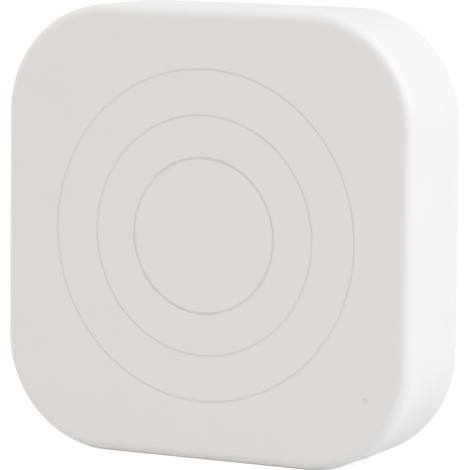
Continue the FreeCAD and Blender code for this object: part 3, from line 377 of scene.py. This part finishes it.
# Opal polycarbonate, moulded with a fine diffuser in it: milky, so the unlit tip nearly
# matches the housing round it. The resin's index is 1.58.
opal_pc, tree, shader = new_finish("moulded_opal_polycarbonate", IOR=1.58, Transmission_Weight=0.03)
cloud(tree, shader, 0.3 * mm, ("#E3E0DD", "#DEDCD9"), (0.32, 0.42))
dress("led_light_guide", opal_pc)

# The diode's base is white ceramic and its lens is silicone with yellow phosphor in it.
phosphor, tree, shader = new_finish("cast_phosphor_silicone", IOR=1.43)
place, tint = cloud(tree, shader, 0.1 * mm, ("#E9DC8C", "#EFE4A6"), (0.3, 0.42))
depth = add(tree, "ShaderNodeSeparateXYZ", {"Vector": place})["Y"]
base_height = 0.32 * mm
base = add(tree, "ShaderNodeMath", {
    0: depth, 1: board_face - base_height}, operation="GREATER_THAN")
layered = add(tree, "ShaderNodeMix", {
    "Factor": base, 6: tint, 7: linear("#F1F0EC")}, data_type="RGBA")
tree.links.new(layered, shader.inputs["Base Color"])
soften("status_led", phosphor, "housing", 0.04 * mm)

# Main board: glass-epoxy laminate under green solder mask, routed round the four bosses.
# Its copper shows through the mask as lighter runs and planes, with tinned vias between them,
# and its cut edge is bare laminate.
run_pitch, run_width, copper_height, area_size = 0.9 * mm, 0.3 * mm, 0.035 * mm, 7 * mm
# Three areas in ten are planes and a little over half carry runs; the rest has no copper.
plane_share, run_share = 0.3, 0.55
via_spacing, via_share = 3.1 * mm, 0.085
weave_size = 1.2 * mm


def at_cut_edge(tree):
    """Is one on the sides of a board, where its laminate was cut."""
    facing = add(tree, "ShaderNodeSeparateXYZ", {
        "Vector": add(tree, "ShaderNodeTexCoord")["Normal"]})["Y"]
    return add(tree, "ShaderNodeMath", {0: facing, 1: 0.0, 2: 0.5}, operation="COMPARE")


board_mask, tree, shader = new_finish("solder_masked_glass_epoxy", IOR=1.5)
place, tint = cloud(tree, shader, 5 * mm, ("#1D5236", "#215A3C"), (0.3, 0.42))
where = add(tree, "ShaderNodeSeparateXYZ", {"Vector": place})
areas = add(tree, "ShaderNodeTexVoronoi", {
    "Vector": place, "Scale": 1 / area_size}, distance="CHEBYCHEV")
chance = add(tree, "ShaderNodeSeparateXYZ", {"Vector": areas["Color"]})
upright = add(tree, "ShaderNodeMath", {0: chance["X"], 1: 0.5}, operation="GREATER_THAN")
across = add(tree, "ShaderNodeMix", {"Factor": upright, 2: where["Z"], 3: where["X"]})
off_run = add(tree, "ShaderNodeMath", {0: across, 1: run_pitch / 2}, operation="PINGPONG")
runs = add(tree, "ShaderNodeMath", {0: off_run, 1: run_width / 2}, operation="LESS_THAN")
wired = add(tree, "ShaderNodeMath", {0: chance["Y"], 1: 1 - run_share}, operation="GREATER_THAN")
runs = add(tree, "ShaderNodeMath", {0: runs, 1: wired}, operation="MULTIPLY")
plane = add(tree, "ShaderNodeMath", {0: chance["Y"], 1: plane_share}, operation="LESS_THAN")
copper = add(tree, "ShaderNodeMath", {0: runs, 1: plane}, operation="MAXIMUM")
tint = add(tree, "ShaderNodeMix", {
    "Factor": copper, 6: tint, 7: linear("#2A6E4A")}, data_type="RGBA")
vias = add(tree, "ShaderNodeTexVoronoi", {"Vector": place, "Scale": 1 / via_spacing})
ringed = add(tree, "ShaderNodeMath", {
    0: vias["Distance"], 1: via_share}, operation="LESS_THAN")
tint = add(tree, "ShaderNodeMix", {
    "Factor": ringed, 6: tint, 7: linear("#9C9A86")}, data_type="RGBA")
weave = add(tree, "ShaderNodeTexWave", {
    "Vector": place, "Scale": 1 / weave_size, "Distortion": 1.0}, bands_direction="Y")
cut_edge = add(tree, "ShaderNodeMix", {
    "Factor": weave["Fac"], 6: linear("#A99A62"), 7: linear("#BFB27F")}, data_type="RGBA")
tint = add(tree, "ShaderNodeMix", {
    "Factor": at_cut_edge(tree), 6: tint, 7: cut_edge}, data_type="RGBA")
tree.links.new(tint, shader.inputs["Base Color"])
lift = add(tree, "ShaderNodeMath", {0: copper, 1: ringed}, operation="ADD")
relief = add(tree, "ShaderNodeBump", {"Height": lift, "Distance": copper_height})
tree.links.new(relief, shader.inputs["Normal"])
dress("main_board", board_mask)

# Screws: zinc-plated steel pan heads with one slot and a rolled self-cutting thread.
# Four hold the board on its posts, and four hold the rear cover on the bosses.
head_radius, head_height, core_radius, thread_radius = 1.8 * mm, 1.3 * mm, 0.72 * mm, 0.94 * mm
screw_length, thread_pitch, point_length = 7 * mm, 0.8 * mm, 0.9 * mm
slot_width, slot_length = 0.5 * mm, 2.5 * mm
head_edge, neck_fillet, plain_shank = 0.5 * mm, 0.08 * mm, 0.8 * mm

# Zinc plate is a dull silver with a faint blue cast; the rolled thread keeps a fine grain.
zinc_plate, tree, shader = new_finish("zinc_plated_steel", Metallic=1.0)
cloud(tree, shader, 0.4 * mm, ("#B9BCC0", "#CBCDCF"), (0.28, 0.42), relief=0.004 * mm,
      detail=5.0)

screw_section = section("screw_section", [
    (head_radius, head_height, 0),
    (0, head_height, head_edge),
    (0, 0, 0),
    (head_radius - core_radius, 0, neck_fillet),
    (head_radius - core_radius, point_length - screw_length, 0),
    (head_radius, -screw_length, 0),
])
tree, given = new_tree("pan_head_screws", **{
    "Head radius": head_radius, "Head height": head_height, "Core radius": core_radius,
    "Thread pitch": thread_pitch, "Length": screw_length, "Slot width": slot_width,
    "Side": boss_side, "Rise": boss_rise, "Under the head": 0.0, "Seed": 7,
})
round_outline = add(tree, "GeometryNodeCurvePrimitiveCircle", {
    "Radius": given["Head radius"], "Resolution": 40})
turned = sweep(tree, given, round_outline, steps=6)
turned = add(tree, "GeometryNodeMergeByDistance", {
    "Geometry": turned, "Distance": 2 * one_point})
turned = add(tree, "GeometryNodeTransform", {"Geometry": turned, "Rotation": (math.pi / 2, 0, 0)})
slot_size = add(tree, "ShaderNodeCombineXYZ", {
    "X": slot_length, "Y": given["Head height"], "Z": given["Slot width"]})
slot_cut = add(tree, "GeometryNodeMeshCube", {"Size": slot_size})["Mesh"]
slot_place = add(tree, "ShaderNodeCombineXYZ", {"Y": given["Head height"]})
slot_cut = add(tree, "GeometryNodeTransform", {"Geometry": slot_cut, "Translation": slot_place})
slotted = add(tree, "GeometryNodeMeshBoolean", {
    "Mesh 1": turned, "Mesh 2": [slot_cut]}, operation="DIFFERENCE", solver="EXACT")["Mesh"]
threaded = add(tree, "ShaderNodeMath", {
    0: given["Length"], 1: point_length + plain_shank}, operation="SUBTRACT")
turns = add(tree, "ShaderNodeMath", {0: threaded, 1: given["Thread pitch"]}, operation="DIVIDE")
helix = add(tree, "GeometryNodeCurveSpiral", {
    "Resolution": 24, "Rotations": turns, "Start Radius": given["Core radius"],
    "End Radius": given["Core radius"], "Height": threaded})
ridge = add(tree, "GeometryNodeCurvePrimitiveCircle", {
    "Radius": thread_radius - core_radius, "Resolution": 3})
thread = add(tree, "GeometryNodeCurveToMesh", {
    "Curve": helix, "Profile Curve": ridge, "Fill Caps": True})
thread_end = add(tree, "ShaderNodeCombineXYZ", {
    "Y": add(tree, "ShaderNodeMath", {0: point_length, 1: given["Length"]}, operation="SUBTRACT")})
thread = add(tree, "GeometryNodeTransform", {
    "Geometry": thread, "Rotation": (-math.pi / 2, 0, 0), "Translation": thread_end})
screw = add(tree, "GeometryNodeJoinGeometry", {"Geometry": [slotted, thread]})
span = [add(tree, "ShaderNodeMath", {0: given[name], 1: 2.0}, operation="MULTIPLY")
        for name in ("Side", "Rise")]
grid = add(tree, "GeometryNodeMeshGrid", {
    "Size X": span[0], "Size Y": span[1], "Vertices X": 2, "Vertices Y": 2})["Mesh"]
seat = add(tree, "ShaderNodeCombineXYZ", {"Y": given["Under the head"], "Z": middle})
grid = add(tree, "GeometryNodeTransform", {
    "Geometry": grid, "Rotation": (math.pi / 2, 0, 0), "Translation": seat})
turn = add(tree, "FunctionNodeRandomValue", {
    "Min": (0, 0, 0), "Max": (0, math.pi, 0), "Seed": given["Seed"]}, data_type="FLOAT_VECTOR")
screws = add(tree, "GeometryNodeInstanceOnPoints", {
    "Points": grid, "Instance": screw, "Rotation": turn})
board_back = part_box("main_board")[1].y
board_screws = grow("board_screws", tree, screws, given, zinc_plate, screw_section, Side=post_side,
                    Rise=post_rise, Seed=3, **{"Under the head": board_back})
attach(board_screws, "housing")
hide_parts("main_board_screws")
cover_screws = grow_again("cover_screws", tree, zinc_plate, screw_section, **{
    "Under the head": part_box("rear_cover_screws")[1].y - head_height})
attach(cover_screws, "housing")
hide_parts("rear_cover_screws")

# Power inlet: a USB-C receptacle. Its shell is nickel-plated drawn steel with four legs through
# the board, its tongue and base are black nylon, and its 24 contacts are gold-plated.
drawn_steel, tree, shader = new_finish("nickel_plated_drawn_steel", Metallic=1.0)
cloud(tree, shader, 0.5 * mm, ("#B8B7B3", "#CCCBC7"), (0.2, 0.34), relief=0.003 * mm,
      detail=4.0, stretch=(1, 1, 0.05))
dress("usb_shell", drawn_steel)

# Glass-filled nylon: near black, matt, with short pale fibres just under the skin.
black_nylon, tree, shader = new_finish("glass_filled_black_nylon", IOR=1.53)
cloud(tree, shader, 0.15 * mm, ("#17181A", "#242527"), (0.42, 0.6), relief=0.006 * mm,
      detail=4.0, stretch=(1, 1, 0.3))
for node in ("usb_tongue", "usb_base"):
    soften(node, black_nylon, "housing", 0.04 * mm)

# Hard gold over nickel on stamped bronze: bright, with fine stamping lines along the contact.
hard_gold, tree, shader = new_finish("hard_gold_plate", Metallic=1.0)
cloud(tree, shader, 0.12 * mm, ("#D9B45C", "#E6C774"), (0.22, 0.34), relief=0.002 * mm,
      stretch=(1, 1, 0.1))
dress("usb_contacts", hard_gold)

# Pairing button and its switch: the button is PC/ABS like the housing, kept in by its flange,
# and presses the plunger of a side-pressed switch under a folded steel cover.
button_abs, tree, shader = new_finish("satin_white_pc_abs", IOR=1.56)
cloud(tree, shader, 0.5 * mm, ("#E4E2DE", "#E8E6E3"), (0.34, 0.44), relief=0.003 * mm)
dress("pairing_button", button_abs)
for node, body in (("switch_body", "housing"), ("switch_plunger", "plunger")):
    soften(node, black_nylon, body, 0.08 * mm)
soften("switch_frame", drawn_steel, "housing", 0.04 * mm)

# Solder-dipped terminals: bright tin with a soft, slightly wavy skin.
bright_tin, tree, shader = new_finish("hot_dipped_tin", Metallic=1.0)
cloud(tree, shader, 0.25 * mm, ("#C6C7C6", "#DADBDA"), (0.18, 0.36), relief=0.01 * mm,
      detail=2.0)
soften("switch_terminals", bright_tin, "housing", 0.03 * mm)

# Supply parts on the board: a five-lead regulator in black epoxy, a moulded ferrite choke on
# two tinned terminals, and three ceramic capacitors with tinned ends.
mould_epoxy, tree, shader = new_finish("moulded_black_epoxy", IOR=1.55)
cloud(tree, shader, 0.08 * mm, ("#1B1C1D", "#26272A"), (0.5, 0.68), relief=0.004 * mm,
      detail=4.0)
soften("voltage_regulator", mould_epoxy, "housing", 0.1 * mm)
soften("regulator_leads", bright_tin, "housing", 0.03 * mm)

# Pressed iron powder and ferrite: dark grey with a sparkle of grains about 0.1 mm across.
pressed_ferrite, tree, shader = new_finish("pressed_ferrite_powder", IOR=1.8, Metallic=0.35)
cloud(tree, shader, 0.1 * mm, ("#2C2C2E", "#4A4A4C"), (0.45, 0.75), relief=0.012 * mm,
      detail=6.0)
soften("power_inductor", pressed_ferrite, "housing", 0.18 * mm, steps=3)
soften("inductor_pads", bright_tin, "housing", 0.04 * mm)

# Fired ceramic is a fawn colour; the ends, a quarter of the length each, are dipped in tin.
fired_ceramic, tree, shader = new_finish("fired_ceramic_with_tin_ends", IOR=1.6)
place, tint = cloud(
    tree, shader, 0.2 * mm, ("#A98A66", "#B7986F"), (0.35, 0.5), relief=0.006 * mm)
low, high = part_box("ceramic_capacitors")
across = add(tree, "ShaderNodeSeparateXYZ", {"Vector": place})["Z"]
off_middle = add(tree, "ShaderNodeMath", {0: across, 1: (low.z + high.z) / 2}, operation="SUBTRACT")
off_middle = add(tree, "ShaderNodeMath", {0: off_middle}, operation="ABSOLUTE")
dipped = add(tree, "ShaderNodeMath", {
    0: off_middle, 1: (high.z - low.z) / 4}, operation="GREATER_THAN")
tint = add(tree, "ShaderNodeMix", {
    "Factor": dipped, 6: tint, 7: linear("#CFCFCD")}, data_type="RGBA")
tree.links.new(tint, shader.inputs["Base Color"])
tree.links.new(dipped, shader.inputs["Metallic"])
soften("ceramic_capacitors", fired_ceramic, "housing", 0.1 * mm, steps=3)

# Radar board: a ceramic-filled radio laminate under dark green mask, spaced off the main board
# by two header strips, with bare gold patches that look through the housing's face.
radar_mask, tree, shader = new_finish("green_masked_radio_laminate", IOR=1.5)
tint = cloud(tree, shader, 4 * mm, ("#1C4A35", "#23553E"), (0.36, 0.5), relief=0.004 * mm)[1]
tint = add(tree, "ShaderNodeMix", {
    "Factor": at_cut_edge(tree), 6: tint, 7: linear("#C9C2AE")}, data_type="RGBA")
tree.links.new(tint, shader.inputs["Base Color"])
dress("radar_board", radar_mask)

# Immersion gold on copper: soft yellow, satin, with the copper's fine grain.
immersion_gold, tree, shader = new_finish("immersion_gold_on_copper", Metallic=1.0)
cloud(tree, shader, 0.15 * mm, ("#D3A95C", "#E0BB74"), (0.3, 0.44), relief=0.003 * mm,
      detail=4.0)
dress("radar_patches", immersion_gold)

# Radar chip and wireless chip: flat moulded packages without leads. Tinned lands show at the
# foot of each side, and a small dimple marks the first one.
package_size, package_height = 5 * mm, 0.85 * mm
package_corner, dimple_radius, dimple_depth = 0.15 * mm, 0.3 * mm, 0.06 * mm
dimple_inset, mould_inset = 0.8 * mm, 0.02 * mm
land_width, land_length, land_height = 0.25 * mm, 0.3 * mm, 0.2 * mm
tree, given = new_tree("flat_package", **{
    "Size": package_size, "Height": package_height, "Lands": 8, "Land spacing": 0.5 * mm,
    "Place Y": 0.0, "Place Z": 0.0, "Turn": 0.0, "Land finish": None})
moulded = add(tree, "ShaderNodeMath", {
    0: given["Size"], 1: 2 * mould_inset}, operation="SUBTRACT")
top = add(tree, "ShaderNodeCombineXYZ", {"Y": given["Height"]})
block = rounded(tree, moulded, moulded, package_corner, steps=4)
block = bar(tree, block, (0, mould_inset, 0), top)
dimple = add(tree, "GeometryNodeCurvePrimitiveCircle", {
    "Radius": dimple_radius, "Resolution": 24})
dimple = bar(tree, dimple, (0, -dimple_depth, 0), (0, dimple_depth, 0))
corner = add(tree, "ShaderNodeMath", {
    0: given["Size"], 1: -0.5, 2: dimple_inset}, operation="MULTIPLY_ADD")
dimple_place = add(tree, "ShaderNodeCombineXYZ", {"X": corner, "Y": given["Height"], "Z": corner})
dimple = add(tree, "GeometryNodeTransform", {"Geometry": dimple, "Translation": dimple_place})
block = add(tree, "GeometryNodeMeshBoolean", {
    "Mesh 1": block, "Mesh 2": [dimple]}, operation="DIFFERENCE", solver="EXACT")["Mesh"]
block = add(tree, "GeometryNodeSetMaterial", {"Geometry": block, "Material": given["Finish"]})
land = add(tree, "GeometryNodeMeshCube", {
    "Size": (land_width, land_height, land_length)})["Mesh"]
gaps = add(tree, "ShaderNodeMath", {0: given["Lands"], 1: -0.5, 2: 0.5}, operation="MULTIPLY_ADD")
first = add(tree, "ShaderNodeMath", {0: gaps, 1: given["Land spacing"]}, operation="MULTIPLY")
side_up = add(tree, "ShaderNodeMath", {
    0: given["Size"], 1: 0.5, 2: -land_length / 2}, operation="MULTIPLY_ADD")
start = add(tree, "ShaderNodeCombineXYZ", {"X": first, "Y": land_height / 2, "Z": side_up})
step = add(tree, "ShaderNodeCombineXYZ", {"X": given["Land spacing"]})
row = add(tree, "GeometryNodeMeshLine", {
    "Count": given["Lands"], "Start Location": start, "Offset": step})
row = add(tree, "GeometryNodeInstanceOnPoints", {"Points": row, "Instance": land})
rows = [add(tree, "GeometryNodeTransform", {
    "Geometry": row, "Rotation": (0, quarter * math.pi / 2, 0)}) for quarter in range(4)]
rows = add(tree, "GeometryNodeJoinGeometry", {"Geometry": rows})
rows = add(tree, "GeometryNodeSetMaterial", {"Geometry": rows, "Material": given["Land finish"]})
package = add(tree, "GeometryNodeJoinGeometry", {"Geometry": [block, rows]})
spin = add(tree, "ShaderNodeCombineXYZ", {"Z": given["Turn"]})
place = add(tree, "ShaderNodeCombineXYZ", {"Y": given["Place Y"], "Z": given["Place Z"]})
package = add(tree, "GeometryNodeTransform", {
    "Geometry": package, "Rotation": spin, "Translation": place})
package = add(tree, "GeometryNodeRealizeInstances", {"Geometry": package})
add(tree, "NodeGroupOutput", {"Geometry": package})
for node, turn in (("radar_chip", 0.0), ("wireless_chip", math.pi)):
    low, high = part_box(node)
    foot = high.y if turn else low.y
    chip = grow_again(f"{node}_package", tree, mould_epoxy, **{
        "Place Y": foot, "Place Z": (low.z + high.z) / 2, "Turn": turn, "Land finish": bright_tin})
    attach(chip, "housing")
    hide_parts(node)

# Crystal, headers and pins: the crystal's lid is seam-welded nickel alloy, the headers are
# moulded black nylon, and their square pins are gold-plated brass.
nickel_alloy, tree, shader = new_finish("seam_welded_nickel_alloy", Metallic=1.0)
cloud(tree, shader, 0.3 * mm, ("#B3B0A9", "#C4C1BA"), (0.24, 0.38), relief=0.004 * mm,
      detail=4.0)
dress("radar_crystal", nickel_alloy)
soften("radar_headers", black_nylon, "housing", 0.12 * mm)
soften("radar_pins", hard_gold, "housing", 0.06 * mm)

# Wireless module: a small board of the radar's laminate with its antenna's gold track at the
# upper end, and a drawn tin-plated can over its chip.
dress("wireless_board", radar_mask)
dress("wireless_antenna", immersion_gold)

# Tin plate drawn to a can: bright, with fine lines along the draw.
tinned_can, tree, shader = new_finish("drawn_tin_plated_steel", Metallic=1.0)
cloud(tree, shader, 0.8 * mm, ("#BDBDBA", "#CFCFCC"), (0.26, 0.4), relief=0.006 * mm,
      detail=4.0, stretch=(1, 1, 0.2))
dress("wireless_can", tinned_can)

# Rear cover: a dished lid of the same PC/ABS as the housing, set flush in its rim. The wall
# bracket slides in its recess under four hooks. Its mould's texture is a little coarser.
cover_abs, tree, shader = new_finish("fine_textured_white_pc_abs", IOR=1.56)
place = cloud(tree, shader, 12 * mm, ("#E6E4E1", "#E2E0DD"), (0.46, 0.56))[0]
mould_grain(tree, shader, place, 0.3 * mm, 0.015 * mm)
dress("rear_cover", cover_abs)

# Wall bracket: PC/ABS again, moulded flat in one piece with its latch finger. Its skin is
# smoother, with flow lines that run along its slide.
bracket_abs, tree, shader = new_finish("flow_marked_white_pc_abs", IOR=1.56)
cloud(tree, shader, 3 * mm, ("#DEDCD8", "#E4E2DF"), (0.34, 0.48), relief=0.004 * mm,
      detail=4.0, stretch=(1, 1, 0.25))
dress("wall_bracket", bracket_abs)


# Studio: a pale floor, a bright even room, a soft lamp high on the right, and a weaker one on
# the left that only grazes the face and brings out its rounded edge.
# The floor and the room show white to the camera, and the floor keeps the contact shadow.
def seen_directly(tree):
    """Is one for rays that come from the camera, from a gloss or through a clear piece."""
    ray = add(tree, "ShaderNodeLightPath")
    clear = add(tree, "ShaderNodeMath", {
        0: ray["Is Glossy Ray"], 1: ray["Is Transmission Ray"]}, operation="MAXIMUM")
    return add(tree, "ShaderNodeMath", {0: ray["Is Camera Ray"], 1: clear}, operation="MAXIMUM")


floor_mesh = bpy.data.meshes.new("studio_floor")
reach = 3.0
floor_corners = [(-reach, -reach, 0), (reach, -reach, 0), (reach, reach, 0), (-reach, reach, 0)]
floor_mesh.from_pydata(floor_corners, [], [(0, 1, 2, 3)])
floor = bpy.data.objects.new("studio_floor", floor_mesh)
bpy.context.scene.collection.objects.link(floor)
paper = bpy.data.materials.new("matt_white_paper")
paper.use_nodes = True
tree = paper.node_tree
tree.nodes.clear()
# A glow lifts the paper to white where it is seen, straight or in a gloss; to all other rays it
# is plain paper. From below it is clear, so that the underside can be looked at.
sheet = add(tree, "ShaderNodeBsdfDiffuse", {"Color": linear("#E8E8E8")})
glow = add(tree, "ShaderNodeEmission", {"Color": linear("#FFFFFF"), "Strength": 0.75})
lit = add(tree, "ShaderNodeAddShader", {0: sheet, 1: glow})
shown = add(tree, "ShaderNodeMixShader", {0: seen_directly(tree), 1: sheet, 2: lit})
below = add(tree, "ShaderNodeNewGeometry")["Backfacing"]
shown = add(tree, "ShaderNodeMixShader", {
    0: below, 1: shown, 2: add(tree, "ShaderNodeBsdfTransparent")})
add(tree, "ShaderNodeOutputMaterial", {"Surface": shown})
floor_mesh.materials.append(paper)

room = bpy.data.worlds.new("white_room")
bpy.context.scene.world = room
room.use_nodes = True
tree = room.node_tree
tree.nodes.clear()
# The light of the room is warm and weaker from the sides and nearly white from overhead.
direction = add(tree, "ShaderNodeSeparateXYZ", {
    "Vector": add(tree, "ShaderNodeTexCoord")["Generated"]})
height = add(tree, "ShaderNodeMapRange", {"Value": direction["Z"]})
air = add(tree, "ShaderNodeMix", {
    "Factor": height, 6: linear("#BCAA9C"), 7: linear("#E4E3E5")}, data_type="RGBA")
air = add(tree, "ShaderNodeBackground", {"Color": air, "Strength": 1.0})
white = add(tree, "ShaderNodeBackground", {"Color": linear("#FFFFFF"), "Strength": 1.0})
around = add(tree, "ShaderNodeMixShader", {0: seen_directly(tree), 1: air, 2: white})
add(tree, "ShaderNodeOutputWorld", {"Surface": around})

for name, power, tone, place in (
        ("soft_key", 8.95, "#EEFBFF", (0.94, -0.22, 0.81)),
        ("soft_fill", 3.4, "#FFFFFF", (-1.1, -0.2, 0.4))):
    lamp = bpy.data.objects.new(name, bpy.data.lights.new(name, "AREA"))
    lamp.data.size = 0.8
    lamp.data.energy = power
    lamp.data.color = linear(tone)[:3]
    lamp.location = place
    aim = Vector((0, 0, middle)) - lamp.location
    lamp.rotation_euler = aim.to_track_quat("-Z", "Y").to_euler()
    bpy.context.scene.collection.objects.link(lamp)

# Camera: a long lens a little right of the face and a little above it, turned by half a degree.
# Its place, its turn and its lens come from fitting the outline and the rings to the photograph.
azimuth, elevation, roll = math.radians(27.1271), math.radians(6.7749), math.radians(0.6238)
distance = 8.4104 * 64 * mm
aim = Vector((0.8485 * mm, -0.15 * mm, 31.378 * mm))
focal_pixels, picture_pixels, sensor = 3782.0, 470, 36.0
back = Vector((math.sin(azimuth) * math.cos(elevation), -math.cos(azimuth) * math.cos(elevation),
               math.sin(elevation)))
sideways = Vector((math.cos(azimuth), math.sin(azimuth), 0))
over = back.cross(sideways)
right = math.cos(roll) * sideways + math.sin(roll) * over
up = math.cos(roll) * over - math.sin(roll) * sideways
axes = Matrix((right, up, back)).transposed().to_4x4()
camera = bpy.data.objects.new("camera", bpy.data.cameras.new("camera"))
camera.data.sensor_width = sensor
camera.data.lens = focal_pixels * sensor / picture_pixels
camera.data.clip_start, camera.data.clip_end = 0.01, 20.0
camera.matrix_world = Matrix.Translation(aim + back * distance) @ axes
bpy.context.scene.collection.objects.link(camera)
bpy.context.scene.camera = camera
bpy.context.scene.view_settings.view_transform = "Standard"
